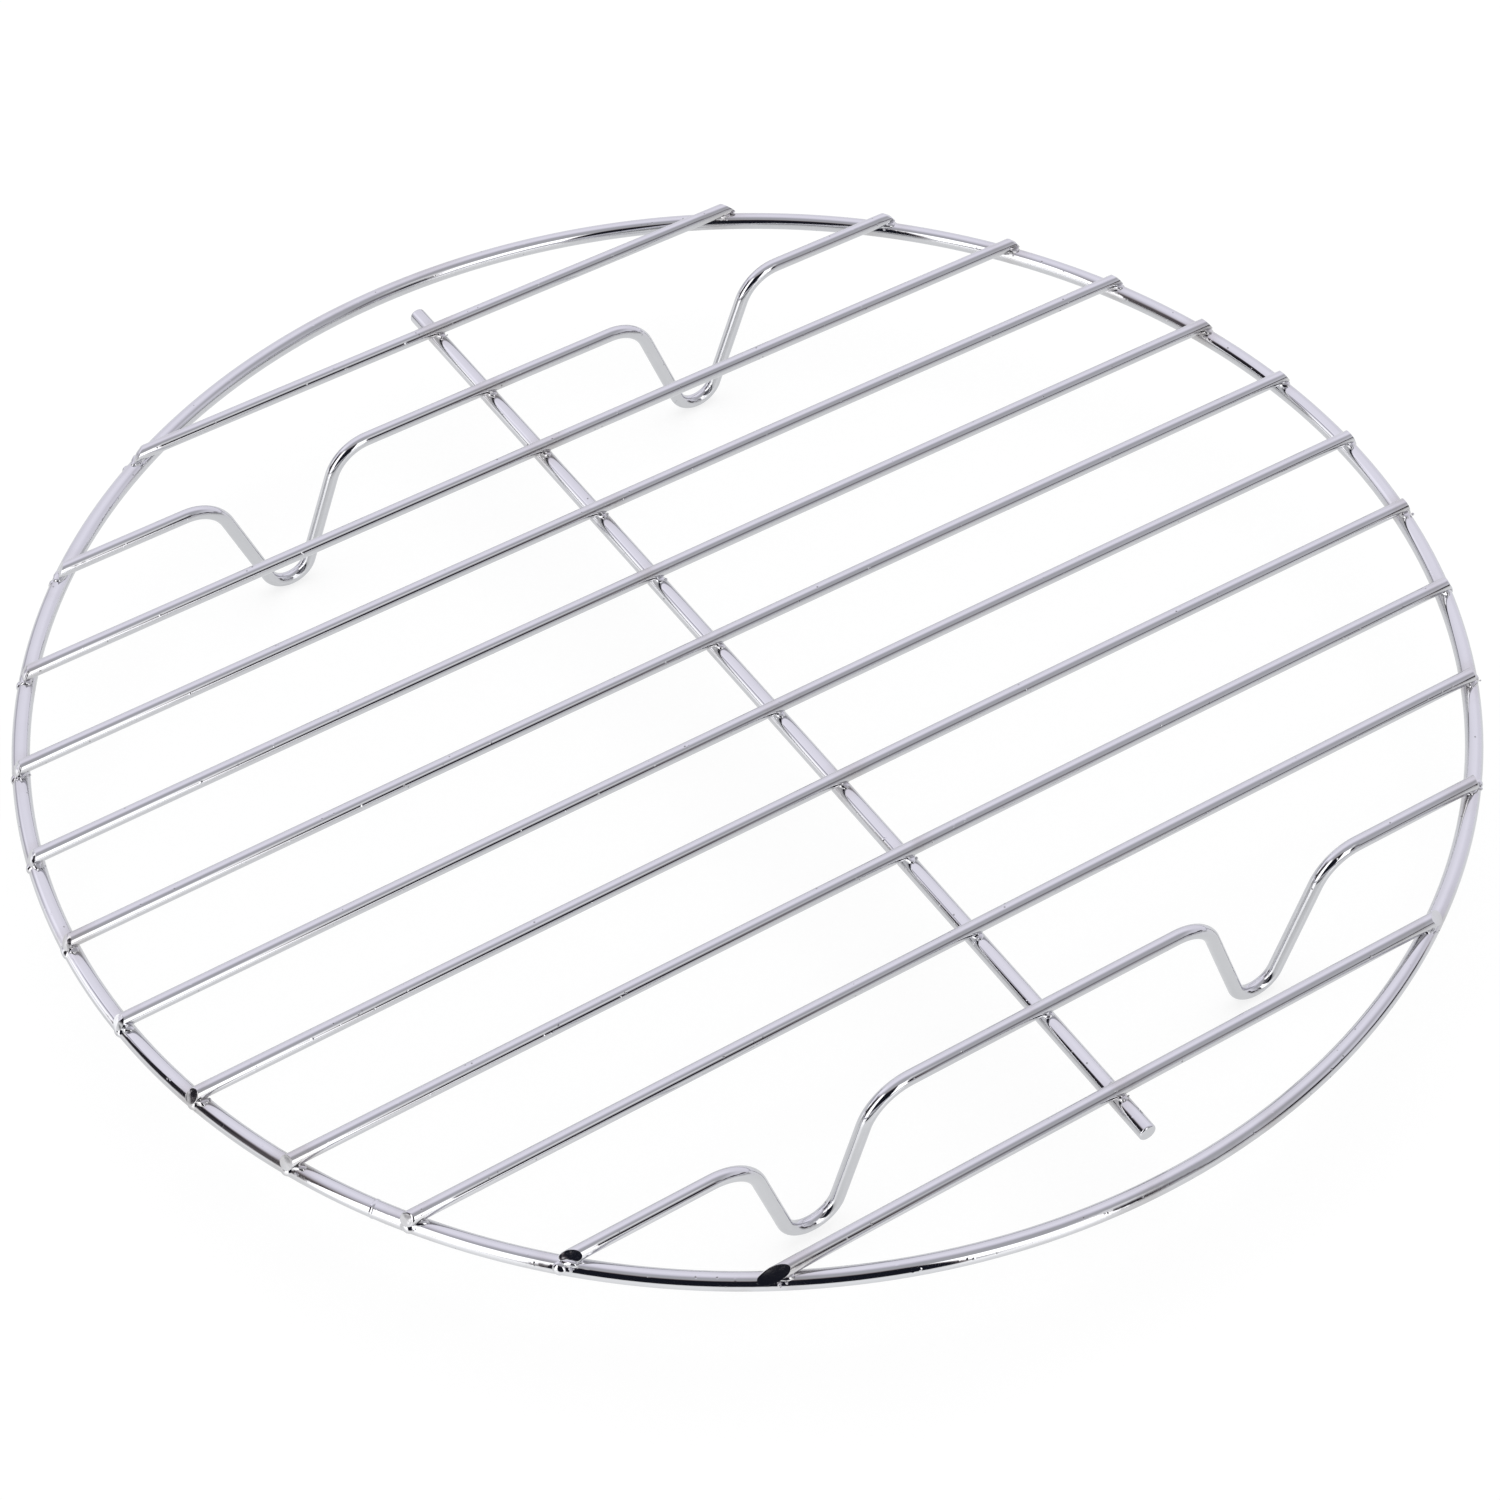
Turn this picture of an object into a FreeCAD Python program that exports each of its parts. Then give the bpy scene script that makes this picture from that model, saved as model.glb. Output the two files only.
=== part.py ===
import FreeCAD, Part
import math
import os

# Round wire cooling rack, in millimetres, +Z up, standing on the table at z = 0 with its middle at
# the origin. Twelve straight wires lie side by side along X on top of a round rim. The second wire
# from each side dips twice to the table, which makes the four feet. One brace lies along Y under
# the middle of the grid. Every crossing is resistance welded: the two wires are pressed into each
# other by the set-down, so there they share a little metal.

# ---- Driving dimensions ----
rack_diameter = 300.0      # over the outside of the rim
rack_height = 33.0         # table to the top of the grid wires
rim_wire = 3.7             # diameter of the rim's wire
grid_wire = 3.0            # diameter of the grid and leg wires
brace_wire = 3.7           # diameter of the brace's wire
grid_count = 12            # wires across the rim, both leg wires among them
outer_wire_inset = 22.125  # from the rim's outside to the middle of the first and last grid wires
outer_wire_count = 1       # straight wires outside each leg wire
set_down = 0.3             # how far two welded wires are pressed into each other
end_inset = 0.3            # the grid wires' ends stop this far inside the rim's outside
brace_end_gap = 12.5       # the brace's free ends stop this far inside the rim's outside
brace_end_bevel = 0.4      # bevel round the brace's cut ends

# The dip of a leg wire: down one straight arm, round the foot and up the other arm.
foot_spread = 106.0        # between the middles of a leg wire's two feet
arm_lean = 21.0            # each arm leans this many degrees out from upright
shoulder_radius = 10.0     # bend from the deck into an arm, on the wire's centre line
foot_radius = 5.4          # bend round the foot, on the wire's centre line

# The rim is one wire bent round, and its two ends are butt welded face to face with the seam.
seam_angle = 210.0         # degrees from +X to the middle of the seam
seam_width = 1.4           # length of the weld along the rim
seam_proud = 0.25          # height of the weld over the rim's wire

# ---- Places, heights and radii that follow ----
grid_pitch = (rack_diameter - 2 * outer_wire_inset) / (grid_count - 1)
brace_length = rack_diameter - 2 * brace_end_gap
grid_z = rack_height - grid_wire / 2
rim_z = grid_z - grid_wire / 2 - rim_wire / 2 + set_down
brace_z = grid_z - grid_wire / 2 - brace_wire / 2 + set_down
foot_z = grid_wire / 2
rim_radius = rack_diameter / 2 - rim_wire / 2
trim_radius = rack_diameter / 2 - end_inset

UP = FreeCAD.Vector(0, 0, 1)
ALONG_X = FreeCAD.Vector(1, 0, 0)
ALONG_Y = FreeCAD.Vector(0, 1, 0)


def save(name, shape):
    shape.exportStep("parts/" + name + ".step")


# ---- Grid wires: straight, with both ends cut to the round outline of the rack ----
def trimmed(wire):
    outline = Part.makeCylinder(trim_radius, 2 * rack_height, FreeCAD.Vector(0, 0, -rack_height / 2))
    return wire.common(outline).Solids[0]


def straight_wire(y):
    start = FreeCAD.Vector(-rack_diameter / 2, y, grid_z)
    return trimmed(Part.makeCylinder(grid_wire / 2, rack_diameter, start, ALONG_X))


# ---- Leg wires: a round section swept along straight runs and tangent bends ----
def first_point(edge):
    return edge.valueAt(edge.FirstParameter)


def last_point(edge):
    return edge.valueAt(edge.LastParameter)


def line_edge(start, end):
    return Part.LineSegment(start, end).toShape()


def arc_edge(centre, radius, first, last):
    """Arc in the XZ plane, its angles taken from +X towards +Z."""
    def at(angle):
        return centre + FreeCAD.Vector(radius * math.cos(angle), 0, radius * math.sin(angle))
    return Part.Arc(at(first), at((first + last) / 2), at(last)).toShape()


def dip(foot_x, y):
    """The five tangent edges of one dip: shoulder, arm, foot, arm, shoulder."""
    lean = math.radians(arm_lean)
    upright = math.pi / 2
    foot_centre = FreeCAD.Vector(foot_x, y, foot_z + foot_radius)
    # An arm's line meets the deck arm_out from the foot's middle, and its shoulder begins further out.
    arm_height = grid_z - foot_centre.z + foot_radius * math.sin(lean)
    arm_out = foot_radius * math.cos(lean) + arm_height * math.tan(lean)
    shoulder_out = arm_out + shoulder_radius * math.tan((upright - lean) / 2)
    left_centre = FreeCAD.Vector(foot_x - shoulder_out, y, grid_z - shoulder_radius)
    right_centre = FreeCAD.Vector(foot_x + shoulder_out, y, grid_z - shoulder_radius)
    left = arc_edge(left_centre, shoulder_radius, upright, lean)
    foot = arc_edge(foot_centre, foot_radius, math.pi + lean, 2 * math.pi - lean)
    right = arc_edge(right_centre, shoulder_radius, math.pi - lean, upright)
    down = line_edge(last_point(left), first_point(foot))
    up = line_edge(last_point(foot), first_point(right))
    return [left, down, foot, up, right]


def leg_wire(y):
    left_end = FreeCAD.Vector(-rack_diameter / 2, y, grid_z)
    right_end = FreeCAD.Vector(rack_diameter / 2, y, grid_z)
    left_dip = dip(-foot_spread / 2, y)
    right_dip = dip(foot_spread / 2, y)
    lead_in = line_edge(left_end, first_point(left_dip[0]))
    span = line_edge(last_point(left_dip[-1]), first_point(right_dip[0]))
    lead_out = line_edge(last_point(right_dip[-1]), right_end)
    path = Part.Wire([lead_in] + left_dip + [span] + right_dip + [lead_out])
    section = Part.Wire(Part.makeCircle(grid_wire / 2, left_end, ALONG_X))
    return trimmed(path.makePipeShell([section], True, False))


# ---- Rim, its seam, and the brace ----
def rim_sweep(tube_radius, first, sweep):
    """The rim's tube over sweep degrees, beginning at the angle first."""
    middle = FreeCAD.Vector(rim_radius, 0, rim_z)
    section = Part.Circle(middle, ALONG_Y, tube_radius).toBSpline().toShape()
    tube = Part.Face(Part.Wire(section)).revolve(FreeCAD.Vector(0, 0, 0), UP, sweep)
    tube.rotate(FreeCAD.Vector(0, 0, 0), UP, first)
    return tube


def brace():
    start = FreeCAD.Vector(0, -brace_length / 2, brace_z)
    rod = Part.makeCylinder(brace_wire / 2, brace_length, start, ALONG_Y)
    end_edges = [edge for edge in rod.Edges if isinstance(edge.Curve, Part.Circle)]
    return rod.makeChamfer(min(brace_end_bevel, 0.4 * brace_wire), end_edges)


# ---- Build: wires are numbered from the front, -Y, to the back ----
os.makedirs("parts", exist_ok=True)

for number in range(1, grid_count + 1):
    y = (number - (grid_count + 1) / 2) * grid_pitch
    if number in (outer_wire_count + 1, grid_count - outer_wire_count):
        save("leg_wire_%02d" % number, leg_wire(y))
    else:
        save("grid_wire_%02d" % number, straight_wire(y))

seam_sweep = math.degrees(seam_width / rim_radius)
save("rim_ring", rim_sweep(rim_wire / 2, seam_angle + seam_sweep / 2, 360 - seam_sweep))
save("rim_seam_weld", rim_sweep(rim_wire / 2 + seam_proud, seam_angle - seam_sweep / 2, seam_sweep))
save("cross_brace", brace())
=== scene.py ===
import math
import random

import bmesh
import bpy
from bpy.props import FloatProperty, FloatVectorProperty, IntProperty, PointerProperty
from mathutils import Matrix, Quaternion, Vector, noise


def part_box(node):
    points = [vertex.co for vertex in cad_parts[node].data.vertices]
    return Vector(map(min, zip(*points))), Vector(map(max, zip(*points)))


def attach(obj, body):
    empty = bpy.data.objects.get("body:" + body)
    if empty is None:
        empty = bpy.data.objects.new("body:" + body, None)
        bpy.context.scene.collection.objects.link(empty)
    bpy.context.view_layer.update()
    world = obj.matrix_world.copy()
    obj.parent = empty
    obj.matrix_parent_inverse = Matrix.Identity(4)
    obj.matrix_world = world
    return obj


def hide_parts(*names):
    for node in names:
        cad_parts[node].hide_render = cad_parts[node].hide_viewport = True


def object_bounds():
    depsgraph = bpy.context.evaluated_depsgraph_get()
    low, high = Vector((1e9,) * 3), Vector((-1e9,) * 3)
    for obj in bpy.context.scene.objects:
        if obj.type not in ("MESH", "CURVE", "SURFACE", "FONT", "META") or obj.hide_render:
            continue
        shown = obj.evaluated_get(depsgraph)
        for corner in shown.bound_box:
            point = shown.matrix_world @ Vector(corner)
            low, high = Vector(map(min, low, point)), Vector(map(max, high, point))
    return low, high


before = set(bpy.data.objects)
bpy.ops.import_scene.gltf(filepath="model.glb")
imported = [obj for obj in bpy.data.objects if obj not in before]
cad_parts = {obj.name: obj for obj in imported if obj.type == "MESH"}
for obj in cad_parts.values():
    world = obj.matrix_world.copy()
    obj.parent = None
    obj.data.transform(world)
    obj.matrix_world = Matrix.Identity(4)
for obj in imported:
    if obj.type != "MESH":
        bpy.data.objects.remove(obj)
cad_low, cad_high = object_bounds()

bl_info = {
    "name": "Round Cooling Rack",
    "version": (1, 0, 0),
    "blender": (4, 5, 0),
    "location": "View3D > Sidebar > Cooling Rack",
    "description": "Dresses a round chromed wire cooling rack on its packed frame",
    "category": "Object",
}

GRID_WIRES = sorted(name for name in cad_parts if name.startswith("grid_wire"))
LEG_WIRES = sorted(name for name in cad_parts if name.startswith("leg_wire"))
DECK_WIRES = GRID_WIRES + LEG_WIRES

# How each deck wire's ends were cropped, from the front row to the back: how far the cut follows the rim (1)
# or squares the wire (0), its upward tilt in degrees, and its distance inside the rim's edge in millimetres
LEFT_CUTS = (
    (0.84, 46, 1.0), (1.00, 24, 1.8), (0.60, 25, 0.3), (0.60, 26, 0.4), (0.60, 36, 0.5), (0.50, 33, 0.7),
    (0.50, 32, 1.2), (0.50, 31, 1.2), (0.50, 30, 1.3), (0.55, 30, 1.6), (0.60, 30, 2.0), (0.62, 30, 1.8))
RIGHT_CUTS = (
    (0.62, 40, 1.1), (0.40, 17, 1.3), (0.40, 17, 1.3), (0.40, 18, 1.2), (0.40, 20, 1.1), (0.40, 26, 1.1),
    (0.50, 33, 1.0), (0.50, 34, 1.0), (0.50, 35, 1.1), (0.50, 34, 0.8), (0.50, 34, 0.8), (0.50, 34, 0.7))

MILLIMETRE = 0.001
# Wire fed past each end of a deck wire, to be cropped off
OVERRUN = 0.012
# Points nearer than this are merged
MERGE = 1e-7
# Faces along the rim's full turn, a straight wire, a leg wire's lead, an arm, a shoulder and a foot
RING_STEPS, WIRE_STEPS = 288, 24
LEAD_STEPS, ARM_STEPS, SHOULDER_STEPS, FOOT_STEPS = 8, 3, 12, 24

# How far from a crossing the weld's stain ends and how far it is full: on a deck wire at the brace and at the
# rim, and on the rim and the brace at a deck wire
BRACE_STAIN, RIM_STAIN, WIRE_STAIN = (0.0075, 0.0020), (0.0090, 0.0035), (0.0065, 0.0015)

# What the plating sees of the room: a ramp from the near wall to the far one, and patches on it. A patch has
# its start, end and softness in degrees, first round the room and then upwards. Those of the wall also have a
# strength and a colour
WALL_RAMP = (
    (0.00, (0.482, 0.488, 0.515, 1.0)), (0.25, (0.465, 0.468, 0.495, 1.0)),
    (0.44, (0.475, 0.475, 0.515, 1.0)), (0.50, (0.588, 0.573, 0.648, 1.0)),
    (0.56, (0.735, 0.718, 0.805, 1.0)), (0.61, (0.876, 0.857, 0.965, 1.0)),
    (0.74, (0.985, 0.965, 1.075, 1.0)), (1.00, (0.905, 0.890, 0.985, 1.0)))
WALL_PATCHES = (
    ((-50.0, 140.0, 20.0), (-30.0, 34.0, 14.0), 0.75, (0.845, 0.83, 0.92)),
    ((112.0, 134.0, 9.0), (22.0, 44.0, 9.0), 1.0, (1.14, 1.12, 1.24)),
    ((129.0, 145.0, 3.0), (30.0, 37.0, 1.5), 0.85, (0.25, 0.25, 0.29)),
    ((135.0, 147.5, 2.0), (4.0, 21.0, 3.0), 1.0, (1.45, 1.45, 1.47)),
    ((95.0, 130.0, 6.0), (-4.0, 14.0, 5.0), 0.85, (0.47, 0.46, 0.52)))
FURNITURE = (
    ((-76.0, -69.0, 1.5), (7.0, 27.0, 2.5)),
    ((-54.0, -22.0, 5.0), (0.0, 10.0, 2.0)),
    ((-64.0, -43.0, 3.0), (6.0, 14.5, 1.5)))
# The camera stand's black, also used on the floor as the stand's painted shade
WHITE, STAND_AND_PAINTED_SHADE_BLACK = (1.0, 1.0, 1.0), (0.010, 0.011, 0.018)
RAYS = ("Is Camera Ray", "Is Glossy Ray", "Is Transmission Ray")

UP = Vector((0.0, 0.0, 1.0))
ALONG_X = Vector((1.0, 0.0, 0.0))
ALONG_Y = Vector((0.0, 1.0, 0.0))

rim_low, rim_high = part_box("rim_ring")
brace_low, brace_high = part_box("cross_brace")
bar_low, bar_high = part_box(GRID_WIRES[1])
seam_low, seam_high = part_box("rim_seam_weld")


# Sizes and finish that a user may change

class RackSizes(bpy.types.PropertyGroup):
    """Sizes of the rack's wires, bends and welds."""

    rim_wire: FloatProperty(
        name="Rim Wire", description="Diameter of the rim's wire",
        default=rim_high.z - rim_low.z, min=0.001, unit="LENGTH", precision=5)
    rim_reach: FloatProperty(
        name="Rim Reach", description="Distance from the middle to the rim's outer edge",
        default=rim_high.x, min=0.05, unit="LENGTH", precision=5)
    grid_wire: FloatProperty(
        name="Grid Wire", description="Diameter of the deck's wires",
        default=bar_high.z - bar_low.z, min=0.001, unit="LENGTH", precision=5)
    brace_wire: FloatProperty(
        name="Brace Wire", description="Diameter of the brace under the deck",
        default=brace_high.z - brace_low.z, min=0.001, unit="LENGTH", precision=5)
    foot_spread: FloatProperty(
        name="Foot Spread", description="Distance between a leg wire's two feet",
        default=0.106, min=0.02, unit="LENGTH", precision=5)
    arm_lean: FloatProperty(
        name="Arm Lean", description="Lean of a foot's arms from upright",
        default=math.radians(21.0), unit="ROTATION")
    shoulder_radius: FloatProperty(
        name="Shoulder Radius", description="Bend where the deck turns down into an arm",
        default=0.010, min=0.002, unit="LENGTH", precision=5)
    foot_radius: FloatProperty(
        name="Foot Radius", description="Bend at the bottom of a foot",
        default=0.0054, min=0.002, unit="LENGTH", precision=5)
    loose_foot: FloatProperty(
        name="Loose Foot", description="How much shallower the front left foot was bent than the others",
        default=0.0010, min=0.0, unit="LENGTH", precision=5)
    loose_turn: FloatProperty(
        name="Loose Turn", description="How much steeper the arms of the front left foot are bent",
        default=math.radians(3.0), unit="ROTATION")
    deck_crown: FloatProperty(
        name="Deck Crown", description="How far the deck's middle stands above its edge",
        default=0.0008, unit="LENGTH", precision=5)
    cut_setback: FloatProperty(
        name="Cut Setback", description="Scales how far the cut ends stay inside the rim's outer edge",
        default=1.0, min=0.0, max=2.0, subtype="FACTOR")
    end_rounding: FloatProperty(
        name="End Rounding", description="Rounding of a cut edge under the plating",
        default=0.00028, unit="LENGTH", precision=5)
    brace_rounding: FloatProperty(
        name="Brace Rounding", description="Rounding of the brace's ends",
        default=0.0004, unit="LENGTH", precision=5)
    weld_spread: FloatProperty(
        name="Weld Spread", description="How far a weld's squeezed metal reaches along the rim",
        default=0.0023, unit="LENGTH", precision=5)
    weld_height: FloatProperty(
        name="Weld Height", description="Half the height of a weld's squeezed metal",
        default=0.0008, unit="LENGTH", precision=5)
    wire_sides: IntProperty(
        name="Wire Sides", description="Flat sides round each wire",
        default=32, min=8, max=64)


class RackFinish(bpy.types.PropertyGroup):
    """Colour and plating of the rack."""

    plate: FloatVectorProperty(
        name="Plate", description="Colour of the chrome plating",
        default=(0.72, 0.72, 0.74), size=3, subtype="COLOR", min=0.0, max=1.0)
    stain: FloatVectorProperty(
        name="Weld Stain", description="Tint of the plating beside a weld",
        default=(0.56, 0.53, 0.52), size=3, subtype="COLOR", min=0.0, max=1.0)
    roughness: FloatProperty(
        name="Roughness", description="Roughness of clean plating",
        default=0.045, min=0.0, max=1.0, subtype="FACTOR")
    ripple: FloatProperty(
        name="Ripple", description="Depth of the drawn wire's slow ripple under the plating",
        default=0.00003, unit="LENGTH", precision=6)
    pit: FloatProperty(
        name="Pit", description="Depth of the plating's pits and nubs",
        default=0.00006, unit="LENGTH", precision=6)


class RackStudio(bpy.types.PropertyGroup):
    """The floor, the soft light and the camera."""

    floor_size: FloatProperty(
        name="Floor Size", description="Side of the pale floor",
        default=8.0, unit="LENGTH")
    lamp_power: FloatProperty(
        name="Lamp Power", description="Power of the large soft lamp overhead",
        default=16.0, unit="POWER")
    room_light: FloatProperty(
        name="Room Light", description="Strength of the even light from all round",
        default=0.75, min=0.0)
    camera_aim: FloatVectorProperty(
        name="Camera Aim", description="Point that the camera looks at",
        default=(-0.00935, -0.01578, 0.02845), size=3, subtype="TRANSLATION", precision=5)
    camera_distance: FloatProperty(
        name="Camera Distance", description="Distance from the camera to its aim",
        default=0.7853, unit="LENGTH")
    camera_azimuth: FloatProperty(
        name="Camera Azimuth", description="Turn of the camera round the rack, from the front to the left",
        default=math.radians(32.24), unit="ROTATION")
    camera_elevation: FloatProperty(
        name="Camera Elevation", description="Height of the camera as an angle",
        default=math.radians(47.32), unit="ROTATION")
    camera_roll: FloatProperty(
        name="Camera Roll", description="Small clockwise turn of the camera about its view",
        default=math.radians(-0.73), unit="ROTATION")
    camera_lens: FloatProperty(
        name="Camera Lens", description="Focal length on a 36 mm sensor",
        default=93.18, min=1.0, unit="CAMERA")


# Shader trees

class Socket:
    """A value in a shader tree that can be used in sums: each sum adds the Math node that works it out."""

    def __init__(self, bench, output):
        self.bench = bench
        self.output = output

    def join(self, operation, *values):
        return self.bench.add("ShaderNodeMath", {"operation": operation}, dict(enumerate(values)))

    def __add__(self, other):
        return self.join("ADD", self, other)

    def __radd__(self, other):
        return self.join("ADD", other, self)

    def __sub__(self, other):
        return self.join("SUBTRACT", self, other)

    def __rsub__(self, other):
        return self.join("SUBTRACT", other, self)

    def __mul__(self, other):
        return self.join("MULTIPLY", self, other)

    def __rmul__(self, other):
        return self.join("MULTIPLY", other, self)

    def __pow__(self, other):
        return self.join("POWER", self, other)

    def __abs__(self):
        return self.join("ABSOLUTE", self)

    def most(self, other):
        return self.join("MAXIMUM", self, other)

    def rise(self, start, end):
        """0 below start, 1 above end, with a smooth climb between; end may be the lower."""
        climb = {"From Min": min(start, end), "From Max": max(start, end), "To Min": 0.0, "To Max": 1.0}
        if end < start:
            climb["To Min"], climb["To Max"] = 1.0, 0.0
        values = {"Value": self, **climb}
        return self.bench.add("ShaderNodeMapRange", {"interpolation_type": "SMOOTHSTEP"}, values)


class Bench:
    """Adds nodes to one shader tree."""

    def __init__(self, tree):
        self.tree = tree
        tree.nodes.clear()

    def add(self, kind, settings=None, values=None, out=0):
        """A new node: its settings first, then its sockets' values and links. Gives the output asked for."""
        node = self.tree.nodes.new(kind)
        for name, value in (settings or {}).items():
            if name == "stops":
                self.set_stops(node.color_ramp, value)
            else:
                setattr(node, name, value)
        for name, value in (values or {}).items():
            socket = find_socket(node.inputs, name)
            if isinstance(value, Socket):
                self.tree.links.new(value.output, socket)
            else:
                socket.default_value = value
        return Socket(self, find_socket(node.outputs, out)) if node.outputs else None

    def set_stops(self, ramp, stops):
        while len(ramp.elements) < len(stops):
            ramp.elements.new(0.5)
        for element, (position, colour) in zip(ramp.elements, stops):
            element.position = position
            element.color = colour

    def mix(self, factor, first, second):
        """A colour between first and second."""
        return self.add(
            "ShaderNodeMix", {"data_type": "RGBA"},
            {"Factor_Float": factor, "A_Color": colour_of(first), "B_Color": colour_of(second)},
            out="Result_Color")

    def parts(self, vector):
        """The three parts of a vector."""
        split = self.add("ShaderNodeSeparateXYZ", None, {"Vector": vector})
        return [Socket(self, output) for output in split.output.node.outputs]

    def facing(self, x, y):
        """The direction from the middle, in degrees round from +X."""
        return self.add("ShaderNodeMath", {"operation": "ARCTAN2"}, {0: y, 1: x}) * (180.0 / math.pi)

    def ray(self, kind):
        """1 for one kind of ray and 0 for the rest."""
        return self.add("ShaderNodeLightPath", None, None, out=kind)

    def vector(self, x, y, z):
        return self.add("ShaderNodeCombineXYZ", None, {"X": x, "Y": y, "Z": z})

    def noise(self, place, scale, detail=2.0, roughness=0.5):
        return self.add(
            "ShaderNodeTexNoise", {"noise_dimensions": "3D"},
            {"Vector": place, "Scale": scale, "Detail": detail, "Roughness": roughness})


def band(value, low, high, soft):
    """1 between low and high, falling to 0 over soft on each side."""
    return value.rise(low - soft, low + soft) * value.rise(high + soft, high - soft)


def patch(azimuth, height, across, up):
    """1 inside a patch of the room's walls."""
    return band(azimuth, *across) * band(height, *up)


def find_socket(sockets, name):
    """A node's socket by its place or its identifier."""
    if isinstance(name, int):
        return sockets[name]
    return next(socket for socket in sockets if socket.identifier == name)


def colour_of(value):
    """A plain colour as four numbers; a socket stays as it is."""
    return value if isinstance(value, Socket) else (*value[:3], 1.0)


# Plating

def run_place(bench, run):
    """Object coordinates drawn out along the way that the wire was drawn."""
    place = bench.add("ShaderNodeTexCoord", None, None, out="Object")
    x, y, z = bench.parts(place)
    drawn = 0.06
    if run == "x":
        return place, bench.vector(x * drawn, y, z)
    if run == "y":
        return place, bench.vector(x, y * drawn, z)
    if run == "ring":
        turn = bench.add("ShaderNodeMath", {"operation": "ARCTAN2"}, {0: y, 1: x})
        reach = (x * x + y * y) ** 0.5
        return place, bench.vector(turn * (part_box("rim_ring")[1].x * drawn), reach, z)
    return place, place


def weld_nearness(bench, place, run, pitch, rim_reach):
    """1 beside the places where the deck's wires cross the rim and the brace, 0 away from them."""
    x, y, _ = bench.parts(place)
    if run == "x":
        reach = (x * x + y * y) ** 0.5
        at_rim = reach.rise(*(rim_reach - stain for stain in RIM_STAIN))
        return abs(x).rise(*BRACE_STAIN).most(at_rim)
    # A count of whole rows keeps what is folded above 0; folded, a row lies at half the pitch
    above = y + pitch * 20.0
    off_wire = bench.add("ShaderNodeMath", {"operation": "PINGPONG"}, {0: above, 1: pitch * 0.5})
    return off_wire.rise(*(pitch * 0.5 - stain for stain in WIRE_STAIN))


def chrome_plate(name, run, finish, pitch, rim_reach):
    """Bright chrome plating on drawn steel wire, with ripples, pits and stains beside its welds."""
    material = bpy.data.materials.new(name)
    material.use_nodes = True
    bench = Bench(material.node_tree)
    dulled, pit_floor = (0.685, 0.69, 0.715), (0.20, 0.19, 0.185)
    line_depth, crust_depth = 0.0000007, 0.000012
    place, drawn = run_place(bench, run)
    near = weld_nearness(bench, place, run, pitch, rim_reach)
    slow = bench.noise(drawn, 330.0, 1.0)
    lines = bench.noise(drawn, 2600.0, 2.0, 0.6)
    clouds = bench.noise(place, 85.0, 3.0, 0.55)
    crumbs = bench.add(
        "ShaderNodeTexVoronoi", {"feature": "F1"}, {"Vector": place, "Scale": 620.0}, out="Distance")
    chance = bench.noise(place, 260.0, 1.0)
    pits = crumbs.rise(0.17, 0.06) * chance.rise(0.60, 0.67)
    nubs = crumbs.rise(0.26, 0.05) * chance.rise(0.40, 0.33)
    scorch = near * clouds.rise(0.38, 0.66)
    colour = bench.mix(clouds.rise(0.30, 0.75) * 0.35, finish.plate, dulled)
    colour = bench.mix(scorch * 0.55, colour, finish.stain)
    colour = bench.mix(pits * 0.75, colour, pit_floor)
    rough = finish.roughness + clouds.rise(0.45, 0.8) * 0.03 + scorch * 0.09 + pits * 0.30
    height = slow * finish.ripple + lines * line_depth + nubs * (finish.pit * 0.4) - pits * finish.pit
    height = height + near * (crumbs * crust_depth)
    bump = bench.add("ShaderNodeBump", None, {"Strength": 1.0, "Distance": 1.0, "Height": height})
    shader = bench.add("ShaderNodeBsdfPrincipled", None, {
        "Base Color": colour, "Metallic": 1.0, "Roughness": rough, "Normal": bump})
    bench.add("ShaderNodeOutputMaterial", None, {"Surface": shader})
    return material


# Wire forming

class WireBender:
    """Feeds round wire forward and bends it, as a forming machine does."""

    def __init__(self, start, heading, axis, radius, sides):
        self.mesh = bmesh.new()
        self.at = Vector(start)
        self.heading = Vector(heading).normalized()
        self.axis = Vector(axis)
        facing = self.heading.to_track_quat("Z", "Y").to_matrix().to_4x4()
        made = bmesh.ops.create_circle(
            self.mesh, cap_ends=False, radius=radius, segments=sides,
            matrix=Matrix.Translation(self.at) @ facing)
        self.ring = list({edge for vert in made["verts"] for edge in vert.link_edges})

    def feed(self, length, steps=1):
        """Pushes the wire straight ahead."""
        for _ in range(steps):
            made = bmesh.ops.extrude_edge_only(self.mesh, edges=self.ring)["geom"]
            fresh = [item for item in made if isinstance(item, bmesh.types.BMVert)]
            bmesh.ops.translate(self.mesh, verts=fresh, vec=self.heading * (length / steps))
            ends = set(fresh)
            self.ring = [
                item for item in made
                if isinstance(item, bmesh.types.BMEdge) and all(vert in ends for vert in item.verts)]
        self.at += self.heading * length

    def bend(self, radius, angle, steps):
        """Turns the wire about its bending axis; a negative angle turns it the other way."""
        side = self.axis.cross(self.heading) * math.copysign(radius, angle)
        centre = self.at + side
        verts = list({vert for edge in self.ring for vert in edge.verts})
        made = bmesh.ops.spin(
            self.mesh, geom=verts + self.ring, cent=centre, axis=self.axis, dvec=(0, 0, 0),
            angle=angle, steps=steps, use_merge=False, use_duplicate=False)["geom_last"]
        self.ring = [item for item in made if isinstance(item, bmesh.types.BMEdge)]
        turn = Matrix.Rotation(angle, 3, self.axis)
        self.at = centre + turn @ (self.at - centre)
        self.heading = turn @ self.heading


def is_cap(face):
    """Whether a face closes a wire's end; it has more corners than any face round the wire."""
    return len(face.verts) > 8


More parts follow.
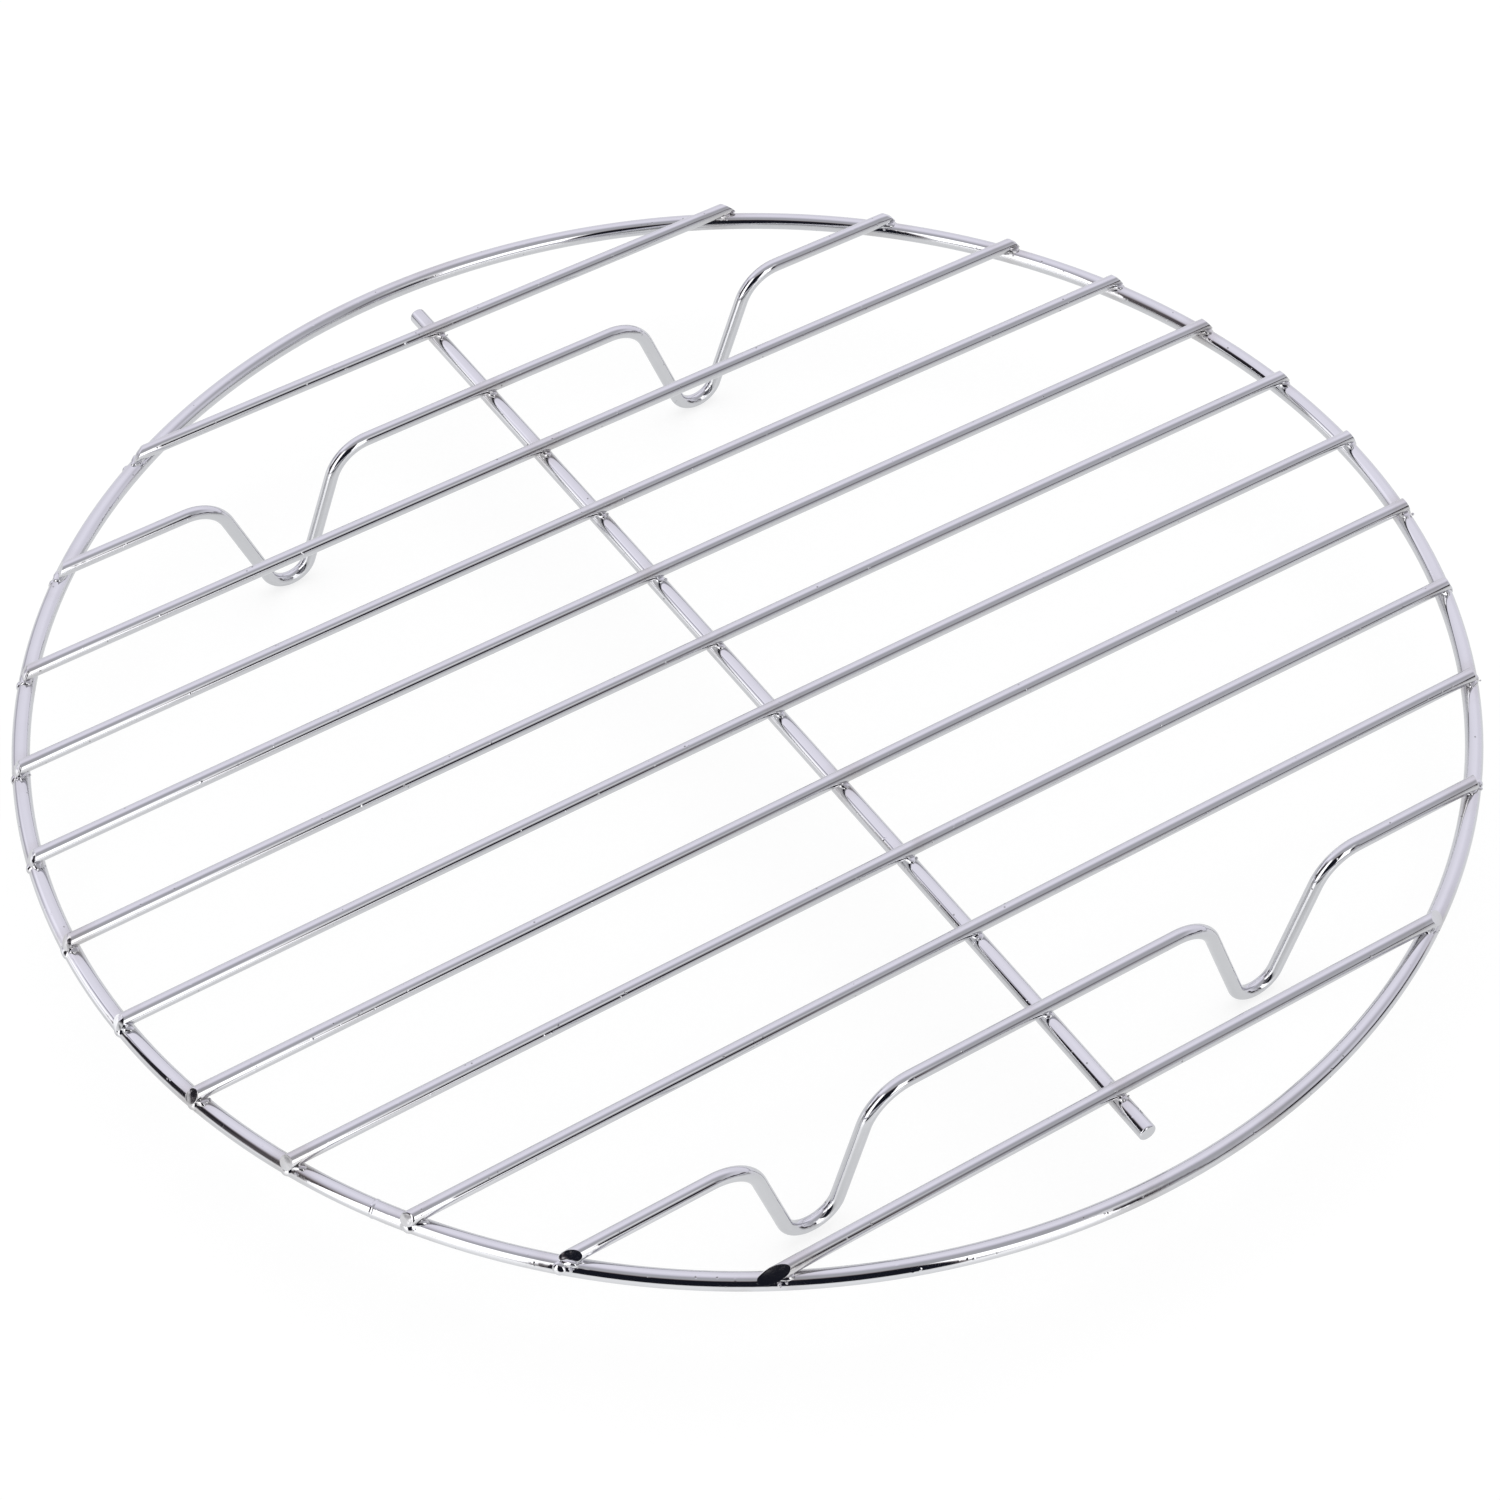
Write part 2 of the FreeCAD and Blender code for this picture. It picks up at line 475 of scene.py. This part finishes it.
def crop_end(mesh, point, outward, rounding, dome):
    """Cuts the wire at a plane, closes the cut, rounds its edge and swells its face into a low dome."""
    whole = mesh.verts[:] + mesh.edges[:] + mesh.faces[:]
    cut = bmesh.ops.bisect_plane(
        mesh, geom=whole, dist=MERGE, plane_co=point, plane_no=outward, clear_outer=True)["geom_cut"]
    edges = [item for item in cut if isinstance(item, bmesh.types.BMEdge)]
    made = bmesh.ops.contextual_create(mesh, geom=edges)["faces"]
    if len(made) != 1:
        raise RuntimeError("a cut end did not close")
    bmesh.ops.bevel(
        mesh, geom=list(made[0].edges), offset=rounding, offset_type="OFFSET", segments=4,
        profile=0.5, affect="EDGES", material=-1, clamp_overlap=True)
    end = min(filter(is_cap, mesh.faces), key=lambda face: (face.calc_center_median() - point).length)
    rings, grain = (0.90, 0.72, 0.45), 1100.0
    for share in rings:
        bmesh.ops.inset_individual(mesh, faces=[end], thickness=0.0, depth=0.0)
        middle = end.calc_center_median()
        for vert in end.verts:
            vert.co = middle + (vert.co - middle) * share
            vert.co += outward * (dome * (1.0 - share) + noise.noise(vert.co * grain) * dome * 0.25)


def keep(name, mesh, material, *nodes):
    """Makes the finished mesh a piece of the rack, in place of its CAD nodes."""
    bmesh.ops.remove_doubles(mesh, verts=mesh.verts, dist=MERGE)
    bmesh.ops.recalc_face_normals(mesh, faces=mesh.faces)
    data = bpy.data.meshes.new(name)
    mesh.to_mesh(data)
    mesh.free()
    data.materials.append(material)
    data.polygons.foreach_set("use_smooth", [True] * len(data.polygons))
    piece = bpy.data.objects.new(name, data)
    bpy.context.scene.collection.objects.link(piece)
    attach(piece, "root")
    if nodes:
        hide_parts(*nodes)


def crown(mesh, sizes):
    """Raises the deck's middle a little, as a sprung rack stands; its feet and edge stay where they are."""
    still, blend = 0.006, 0.018
    for vert in mesh.verts:
        reach = min(1.0, math.hypot(vert.co.x, vert.co.y) / sizes.rim_reach)
        share = min(1.0, max(0.0, (vert.co.z - still) / blend))
        vert.co.z += sizes.deck_crown * (1.0 - reach * reach) * share


def deck_rows():
    """Each deck wire's name and row, from the front to the back."""
    rows = []
    for name in DECK_WIRES:
        low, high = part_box(name)
        rows.append((name, (low.y + high.y) / 2))
    return sorted(rows, key=lambda row: row[1])


def row_pitch():
    """Distance from one deck wire to the next."""
    rows = deck_rows()
    return (rows[-1][1] - rows[0][1]) / (len(rows) - 1)


def plate_for(name, run):
    """The plating for one way of drawing, made once."""
    made = bpy.data.materials.get(name)
    scene = bpy.context.scene
    return made or chrome_plate(name, run, scene.rack_finish, row_pitch(), scene.rack_sizes.rim_reach)


def crop_deck_wire(mesh, sizes, name, row, height):
    """Crops both ends of a deck wire near the rim's outer edge."""
    place = [deck_name for deck_name, _ in deck_rows()].index(name)
    dice = random.Random(name)
    full_dome = 0.00022
    for side, (follow, tilt, setback) in ((-1.0, LEFT_CUTS[place]), (1.0, RIGHT_CUTS[place])):
        reach = sizes.rim_reach - setback * MILLIMETRE * sizes.cut_setback
        across = math.sqrt(reach * reach - row * row)
        turn = math.atan2(row, across) * follow
        tilt = math.radians(tilt)
        level = math.cos(tilt)
        outward = Vector((side * math.cos(turn) * level, math.sin(turn) * level, math.sin(tilt)))
        # The wires at the front were cropped the sharpest
        soft = 1.0 - 0.8 * max(0.0, -row / reach)
        rounding = sizes.end_rounding * (0.5 + soft) * dice.uniform(0.9, 1.1)
        dome = full_dome * soft * dice.uniform(0.6, 1.4)
        crop_end(mesh, Vector((side * across, row, height)), outward, rounding, dome)


def deck_bender(sizes, long, row, height):
    """A bender for a deck wire, which it feeds from left to right."""
    return WireBender((-long, row, height), ALONG_X, ALONG_Y, sizes.grid_wire / 2, sizes.wire_sides)


def keep_deck_wire(name, mesh, sizes, node, row, height):
    """Crops, crowns and keeps a deck wire."""
    crop_deck_wire(mesh, sizes, node, row, height)
    crown(mesh, sizes)
    keep(name, mesh, plate_for("chrome_wire_x", "x"), node)


# Operators

class RACK_OT_rim(bpy.types.Operator):
    """Make the rim, one closed ring of wire"""

    bl_idname = "rack.rim"
    bl_label = "Rim"

    def execute(self, context):
        sizes = context.scene.rack_sizes
        mesh = bmesh.new()
        radius = sizes.rim_wire / 2
        height = (rim_low.z + rim_high.z) / 2
        middle = Vector((sizes.rim_reach - radius, 0.0, height))
        upright = Matrix.Rotation(math.pi / 2, 4, "X")
        circle = bmesh.ops.create_circle(
            mesh, cap_ends=False, radius=radius, segments=sizes.wire_sides,
            matrix=Matrix.Translation(middle) @ upright)["verts"]
        edges = list({edge for vert in circle for edge in vert.link_edges})
        bmesh.ops.spin(
            mesh, geom=circle + edges, cent=(0, 0, height), axis=UP, dvec=(0, 0, 0),
            angle=math.tau, steps=RING_STEPS, use_merge=True, use_duplicate=False)
        keep("rim_wire", mesh, plate_for("chrome_rim", "ring"), "rim_ring")
        return {"FINISHED"}


class RACK_OT_rim_seam(bpy.types.Operator):
    """Make the small ridge where the rim's two ends were butt welded"""

    bl_idname = "rack.rim_seam"
    bl_label = "Rim Seam"

    def execute(self, context):
        sizes = context.scene.rack_sizes
        middle = (seam_low + seam_high) / 2
        out = Vector((middle.x, middle.y, 0.0)).normalized()
        centre = out * (sizes.rim_reach - sizes.rim_wire / 2) + UP * middle.z
        along = UP.cross(out)
        sunk, half_length, half_width, rise = 0.00010, 0.0009, 0.00048, 0.00019
        radius = sizes.rim_wire / 2 - sunk
        bender = WireBender(centre - along * half_length, along, UP, radius, sizes.wire_sides)
        bender.feed(half_length * 2, 12)
        mesh = bender.mesh
        for vert in mesh.verts:
            away = vert.co - centre
            reach = away.dot(along)
            round_out = away - along * reach
            swell = math.exp(-(reach / half_width) ** 2)
            uneven = 0.5 + 0.9 * noise.noise(vert.co * 900.0)
            vert.co += round_out.normalized() * (rise * swell * (0.75 + uneven * 0.5))
        bmesh.ops.holes_fill(mesh, edges=mesh.edges, sides=0)
        keep("rim_seam", mesh, plate_for("chrome_rim", "ring"), "rim_seam_weld")
        return {"FINISHED"}


class RACK_OT_brace(bpy.types.Operator):
    """Make the brace that runs under the deck's wires from front to back"""

    bl_idname = "rack.brace"
    bl_label = "Brace"

    def execute(self, context):
        sizes = context.scene.rack_sizes
        middle = (brace_low + brace_high) / 2
        start = Vector((middle.x, brace_low.y, middle.z))
        bender = WireBender(start, ALONG_Y, UP, sizes.brace_wire / 2, sizes.wire_sides)
        bender.feed(brace_high.y - brace_low.y, WIRE_STEPS)
        mesh = bender.mesh
        bmesh.ops.holes_fill(mesh, edges=mesh.edges, sides=0)
        rims = [edge for edge in mesh.edges if any(map(is_cap, edge.link_faces))]
        bmesh.ops.bevel(
            mesh, geom=rims, offset=sizes.brace_rounding, offset_type="OFFSET", segments=5,
            profile=0.5, affect="EDGES", material=-1, clamp_overlap=True)
        ends = list(filter(is_cap, mesh.faces))
        edge_band = 0.00022
        for end in ends:
            bmesh.ops.inset_individual(
                mesh, faces=[end], thickness=edge_band, depth=0.0, use_even_offset=True)
        crown(mesh, sizes)
        keep("brace", mesh, plate_for("chrome_brace", "y"), "cross_brace")
        return {"FINISHED"}


class RACK_OT_grid_wires(bpy.types.Operator):
    """Make the deck's straight wires, cropped along the rim"""

    bl_idname = "rack.grid_wires"
    bl_label = "Grid Wires"

    def execute(self, context):
        sizes = context.scene.rack_sizes
        for name in GRID_WIRES:
            low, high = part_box(name)
            middle = (low + high) / 2
            long = high.x + OVERRUN
            bender = deck_bender(sizes, long, middle.y, middle.z)
            bender.feed(long * 2, WIRE_STEPS)
            piece = name.replace("grid_wire", "deck_wire")
            keep_deck_wire(piece, bender.mesh, sizes, name, middle.y, middle.z)
        return {"FINISHED"}


class RACK_OT_leg_wires(bpy.types.Operator):
    """Make the two deck wires that dip down to the feet"""

    bl_idname = "rack.leg_wires"
    bl_label = "Leg Wires"

    def execute(self, context):
        sizes = context.scene.rack_sizes
        for name in LEG_WIRES:
            low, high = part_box(name)
            row = (low.y + high.y) / 2
            top = high.z - sizes.grid_wire / 2
            bottom = low.z + sizes.grid_wire / 2
            long = high.x + OVERRUN
            bender = deck_bender(sizes, long, row, top)
            for foot in (-sizes.foot_spread / 2, sizes.foot_spread / 2):
                # Only the front left foot is loose
                loose = 1.0 if row < 0.0 > foot else 0.0
                self.dip(bender, sizes, foot, top - bottom, loose)
            bender.feed(long - bender.at.x, LEAD_STEPS)
            piece = name.replace("leg_wire", "footed_wire")
            keep_deck_wire(piece, bender.mesh, sizes, name, row, top)
        return {"FINISHED"}

    def dip(self, bender, sizes, foot, drop, loose):
        """Bends the wire down to a foot and back up to the deck."""
        slack = loose * sizes.loose_foot
        turn = math.pi / 2 - sizes.arm_lean + loose * sizes.loose_turn
        shoulder = sizes.shoulder_radius + slack * 0.8
        heel = sizes.foot_radius + slack
        bends = (shoulder + heel) * (1 - math.cos(turn))
        arm = (drop - slack - bends) / math.sin(turn)
        half_dip = (shoulder + heel) * math.sin(turn) + arm * math.cos(turn)
        bender.feed(foot - half_dip - bender.at.x, LEAD_STEPS)
        bender.bend(shoulder, turn, SHOULDER_STEPS)
        bender.feed(arm, ARM_STEPS)
        bender.bend(heel, -2 * turn, FOOT_STEPS)
        bender.feed(arm, ARM_STEPS)
        bender.bend(shoulder, turn, SHOULDER_STEPS)


class RACK_OT_welds(bpy.types.Operator):
    """Make the squeezed metal and crumbs at each place where two wires were welded"""

    bl_idname = "rack.welds"
    bl_label = "Welds"

    def execute(self, context):
        sizes = context.scene.rack_sizes
        height = rim_high.z - (rim_high.z + sizes.grid_wire - cad_high.z) / 2
        ring = sizes.rim_reach - sizes.rim_wire / 2
        on_rim = bmesh.new()
        on_brace = bmesh.new()
        rows = deck_rows()
        front = rows[0][1]
        for name, row in rows:
            dice = random.Random("weld " + name)
            across = math.sqrt(ring * ring - row * row)
            outer = math.sqrt(sizes.rim_reach * sizes.rim_reach - row * row)
            for x in (-across, across):
                lie = math.atan2(row, x) + math.pi / 2
                self.weld(on_rim, sizes, Vector((x, row, height)), lie, dice)
                if row > front:
                    self.flow(on_rim, sizes, Vector((x * outer / across, row, 0.0)), dice)
            self.weld(on_brace, sizes, Vector((0.0, row, height)), math.pi / 2, dice)
        keep("rim_welds", on_rim, plate_for("chrome_weld", "free"))
        crown(on_brace, sizes)
        keep("brace_welds", on_brace, plate_for("chrome_weld", "free"))
        return {"FINISHED"}

    def flow(self, mesh, sizes, crossing, dice):
        """Metal that ran from a wire's end down the outside of the rim, less of it towards front and back."""
        sunk, proud, half_length = 0.0006, 0.00045, 0.0015
        out = crossing.normalized()
        along = UP.cross(out)
        lean = math.radians(dice.uniform(24.0, 36.0))
        away = out * math.cos(lean) + UP * math.sin(lean)
        ring = out * (sizes.rim_reach - sizes.rim_wire / 2) + UP * ((rim_low.z + rim_high.z) / 2)
        centre = ring + away * (sizes.rim_wire / 2 - sunk)
        turn = Matrix((away, along, away.cross(along))).transposed().to_4x4()
        loss = 0.3 * min(1.0, abs(crossing.y) / sizes.rim_reach * 1.2)
        # More of it ran at the front left
        if crossing.x < 0.0 > crossing.y:
            loss *= 0.3
        size = 1.0 - loss
        thick = sunk + proud * size * dice.uniform(0.8, 1.1)
        shape = Matrix.Diagonal((thick, dice.uniform(0.0014, 0.0017) * size, half_length * size, 1.0))
        made = bmesh.ops.create_icosphere(
            mesh, subdivisions=3, radius=1.0, matrix=Matrix.Translation(centre) @ turn @ shape)["verts"]
        for vert in made:
            vert.co += (vert.co - centre) * (noise.noise(vert.co * 700.0) * 0.16)

    def weld(self, mesh, sizes, point, lie, dice):
        """A squeezed collar round the touching place of two crossing wires, and a few crumbs of spatter."""
        half_width, crumbs = 0.0013, 4
        spread = sizes.weld_spread * dice.uniform(0.9, 1.15)
        turn = Matrix.Rotation(lie, 4, "Z")
        shape = Matrix.Diagonal((spread, half_width, sizes.weld_height, 1.0))
        made = bmesh.ops.create_icosphere(
            mesh, subdivisions=3, radius=1.0, matrix=Matrix.Translation(point) @ turn @ shape)["verts"]
        for vert in made:
            away = vert.co - point
            vert.co += away * (noise.noise(vert.co * 800.0) * 0.22 + noise.noise(vert.co * 2400.0) * 0.14)
        for _ in range(crumbs):
            side = dice.choice((-1.0, -1.0, 1.0))
            across = dice.uniform(-0.0016, 0.0016)
            where = Vector((across, side * dice.uniform(0.0012, 0.0021), dice.uniform(-0.0006, 0.0001)))
            size = dice.uniform(0.00018, 0.0004)
            crumb = Matrix.Diagonal((size, size * dice.uniform(0.7, 1.5), size, 1.0))
            bmesh.ops.create_icosphere(
                mesh, subdivisions=2, radius=1.0, matrix=Matrix.Translation(point + where) @ crumb)


class RACK_OT_studio(bpy.types.Operator):
    """Make the pale floor, the soft light, the room round it and the camera"""

    bl_idname = "rack.studio"
    bl_label = "Studio"

    def execute(self, context):
        scene = context.scene
        studio = scene.rack_studio
        self.floor(scene, studio)
        self.lamp(scene, studio)
        self.room(scene, studio)
        self.camera(scene, studio)
        scene.view_settings.view_transform = "Standard"
        return {"FINISHED"}

    def floor(self, scene, studio):
        mesh = bmesh.new()
        bmesh.ops.create_grid(mesh, x_segments=1, y_segments=1, size=studio.floor_size / 2)
        data = bpy.data.meshes.new("floor")
        mesh.to_mesh(data)
        mesh.free()
        floor = bpy.data.objects.new("floor", data)
        scene.collection.objects.link(floor)
        data.materials.append(self.pale_floor_and_painted_light())

    def pale_floor_and_painted_light(self):
        """White to the camera. The plating sees a painted shadow of the rack beside it, painted light towards
        the front and left, and a painted shade of the camera stand further out."""
        material = bpy.data.materials.new("pale_floor")
        material.use_nodes = True
        bench = Bench(material.node_tree)
        place = bench.add("ShaderNodeTexCoord", None, None, out="Object")
        x, y, _ = bench.parts(place)
        reach = (x * x + y * y) ** 0.5
        # Painted shade of the camera stand: the floor far out towards the camera is black to the plating
        stand = band(bench.facing(x, y), -150.0, -96.0, 3.0)
        painted_stand_shade = reach.rise(0.27, 0.31) * stand
        camera, glossy, clear = map(bench.ray, RAYS)
        shown = camera.most(glossy).most(clear)
        # Painted light out of the rack's shade, towards the front left
        painted_light_front_left = (x * -0.6 + y * -0.8).rise(0.11, 0.21)
        # Painted light towards the left
        side = (x * -1.0).rise(0.18, 0.27)
        # Painted shadow of the rack: the floor is darker near the rack than further out
        painted_floor_light_and_shade = bench.mix(reach.rise(0.16, 0.34), (0.80, 0.81, 0.815), (0.84, 0.85, 0.86))
        painted_floor_light_and_shade = bench.mix(painted_light_front_left, painted_floor_light_and_shade, (1.08, 1.09, 1.10))
        painted_floor_light_and_shade = bench.mix(side, painted_floor_light_and_shade, (1.30, 1.31, 1.32))
        painted_floor_light_and_shade = bench.mix(painted_stand_shade, painted_floor_light_and_shade, STAND_AND_PAINTED_SHADE_BLACK)
        # The painted light and shade reach the plating through the floor's glow and its diffuse colour
        seen = bench.mix(glossy, WHITE, painted_floor_light_and_shade)
        plain = bench.add("ShaderNodeBsdfDiffuse", None, {"Color": (0.80, 0.80, 0.80, 1.0)})
        shaded = bench.add("ShaderNodeBsdfDiffuse", None, {"Color": bench.mix(0.72, seen, (0.0, 0.0, 0.0))})
        glow = bench.add("ShaderNodeEmission", None, {"Color": seen, "Strength": 0.75})
        pale = bench.add("ShaderNodeAddShader", None, {0: shaded, 1: glow})
        sheen = bench.add("ShaderNodeFresnel", None, {"IOR": 1.45}) * glossy
        sealed = bench.add("ShaderNodeBsdfGlossy", None, {"Color": (*WHITE, 1.0), "Roughness": 0.12})
        pale = bench.add("ShaderNodeMixShader", None, {0: sheen, 1: pale, 2: sealed})
        shader = bench.add("ShaderNodeMixShader", None, {0: shown, 1: plain, 2: pale})
        bench.add("ShaderNodeOutputMaterial", None, {"Surface": shader})
        return material

    def lamp(self, scene, studio):
        light = bpy.data.lights.new("soft_lamp", "AREA")
        light.shape = "DISK"
        light.size = 2.4
        light.energy = studio.lamp_power
        lamp = bpy.data.objects.new("soft_lamp", light)
        lamp.location = (0.25, 0.55, 2.2)
        lamp.rotation_euler = (-lamp.location).to_track_quat("-Z", "Y").to_euler()
        lamp.visible_camera = False
        lamp.visible_glossy = False
        scene.collection.objects.link(lamp)

    def room(self, scene, studio):
        """White to the camera and even as a light. Only the plating sees the walls and what stands there."""
        world = bpy.data.worlds.new("room")
        scene.world = world
        world.use_nodes = True
        bench = Bench(world.node_tree)
        look = bench.add("ShaderNodeTexCoord", None, None, out="Generated")
        x, y, z = bench.parts(look)
        azimuth = bench.facing(x, y)
        height = bench.add("ShaderNodeMath", {"operation": "ARCSINE"}, {0: z}) * (180.0 / math.pi)
        sky = self.wall(bench, x, y, azimuth, height)
        sky = self.windows(bench, sky, azimuth, height)
        sky = self.dark_things(bench, sky, look, azimuth, height)
        camera, glossy, clear = map(bench.ray, RAYS)
        even = (studio.room_light,) * 3
        seen = bench.mix(glossy, even, sky)
        seen = bench.mix(camera.most(clear), seen, WHITE)
        light = bench.add("ShaderNodeBackground", None, {"Color": seen, "Strength": 1.0})
        bench.add("ShaderNodeOutputWorld", None, {"Surface": light})

    def wall(self, bench, x, y, azimuth, height):
        """A lavender wall ahead and overhead, with patches of light and shade."""
        middle = math.radians(75.0)
        ahead = x * math.cos(middle) + y * math.sin(middle)
        sky = bench.add("ShaderNodeValToRGB", {"stops": WALL_RAMP}, {"Fac": ahead * 0.5 + 0.5})
        for across, up, strength, colour in WALL_PATCHES:
            sky = bench.mix(patch(azimuth, height, across, up) * strength, sky, colour)
        return sky

    def windows(self, bench, sky, azimuth, height):
        """A bright window in front and one on the left, with the ledge, sill and dusk beside them."""
        right = band(azimuth, -96.5, -74.2, 1.5) * band(height + azimuth * 0.5, -42.0, 0.5, 3.0)
        left = azimuth.rise(-149.0, -152.0) * band(height, -2.0, 53.0, 4.0)
        ledge = band(azimuth, -80.0, -60.0, 5.0) * band(height - azimuth * 0.6, 79.0, 90.0, 4.0)
        sky = bench.mix(ledge * 0.9, sky, (0.93, 0.93, 0.95))
        sky = bench.mix(right.most(left), sky, (1.9, 1.9, 1.92))
        off_stand = 1.0 - band(azimuth, -148.0, -60.0, 2.0) * azimuth.rise(-97.0, -100.0)
        sill = off_stand * band(height, -3.5, 1.8, 0.8) * azimuth.rise(-56.0, -62.0)
        sky = bench.mix(sill * 0.8, sky, (0.34, 0.34, 0.33))
        dusk = band(azimuth, -72.5, -61.5, 2.0) * band(height, 13.0, 32.0, 4.0)
        return bench.mix(dusk * 0.92, sky, (0.19, 0.18, 0.20))

    def dark_things(self, bench, sky, look, azimuth, height):
        """The dark camera stand between the windows, low furniture on the right, a door at the back left."""
        stand = band(azimuth, -149.0, -96.5, 2.0) * height.rise(64.0, 42.0)
        sky = bench.mix(stand.rise(0.0, 0.5) * 0.6, sky, (0.24, 0.15, 0.14))
        sky = bench.mix(stand.rise(0.15, 0.9), sky, STAND_AND_PAINTED_SHADE_BLACK)
        broken = height + (bench.noise(look, 9.0, 2.0) - 0.5) * 9.0
        door = azimuth.rise(144.5, 148.5) * broken.rise(62.0, 30.0) * broken.rise(-3.0, 2.0)
        dark = door * (0.92 - azimuth.rise(156.0, 172.0) * 0.22)
        for across, up in FURNITURE:
            dark = dark.most(patch(azimuth, broken, across, up))
        sky = bench.mix(dark.rise(0.0, 0.6) * 0.55, sky, (0.26, 0.19, 0.17))
        return bench.mix(dark.rise(0.3, 0.9), sky, (0.022, 0.020, 0.026))

    def camera(self, scene, studio):
        lens = bpy.data.cameras.new("camera")
        lens.sensor_width = 36.0
        lens.lens = studio.camera_lens
        lens.clip_start = 0.01
        camera = bpy.data.objects.new("camera", lens)
        azimuth, elevation = studio.camera_azimuth, studio.camera_elevation
        level = math.cos(elevation)
        back = Vector((-math.sin(azimuth) * level, -math.cos(azimuth) * level, math.sin(elevation)))
        facing = back.to_track_quat("Z", "Y") @ Quaternion((0.0, 0.0, 1.0), studio.camera_roll)
        camera.location = Vector(studio.camera_aim) + back * studio.camera_distance
        camera.rotation_euler = facing.to_euler()
        scene.collection.objects.link(camera)
        scene.camera = camera


class RACK_PT_panel(bpy.types.Panel):
    """The rack's pieces and sizes"""

    bl_idname = "RACK_PT_panel"
    bl_label = "Cooling Rack"
    bl_space_type = "VIEW_3D"
    bl_region_type = "UI"
    bl_category = "Cooling Rack"

    def draw(self, context):
        layout = self.layout
        for operator in OPERATORS:
            layout.operator(operator.bl_idname)
        for group in (getattr(context.scene, name) for name in GROUPS):
            box = layout.box()
            for name in group.bl_rna.properties.keys():
                if name not in {"rna_type", "name"}:
                    box.prop(group, name)


GROUPS = {"rack_sizes": RackSizes, "rack_finish": RackFinish, "rack_studio": RackStudio}
OPERATORS = (
    RACK_OT_rim, RACK_OT_rim_seam, RACK_OT_brace, RACK_OT_grid_wires, RACK_OT_leg_wires, RACK_OT_welds,
    RACK_OT_studio)
CLASSES = (*GROUPS.values(), *OPERATORS, RACK_PT_panel)


def register():
    for kind in CLASSES:
        bpy.utils.register_class(kind)
    for name, group in GROUPS.items():
        setattr(bpy.types.Scene, name, PointerProperty(type=group))


def unregister():
    for name in GROUPS:
        delattr(bpy.types.Scene, name)
    for kind in reversed(CLASSES):
        bpy.utils.unregister_class(kind)


def main():
    register()
    bpy.ops.rack.rim()
    bpy.ops.rack.rim_seam()
    bpy.ops.rack.brace()
    bpy.ops.rack.grid_wires()
    bpy.ops.rack.leg_wires()
    bpy.ops.rack.welds()
    bpy.ops.rack.studio()


if __name__ == "__main__":
    main()
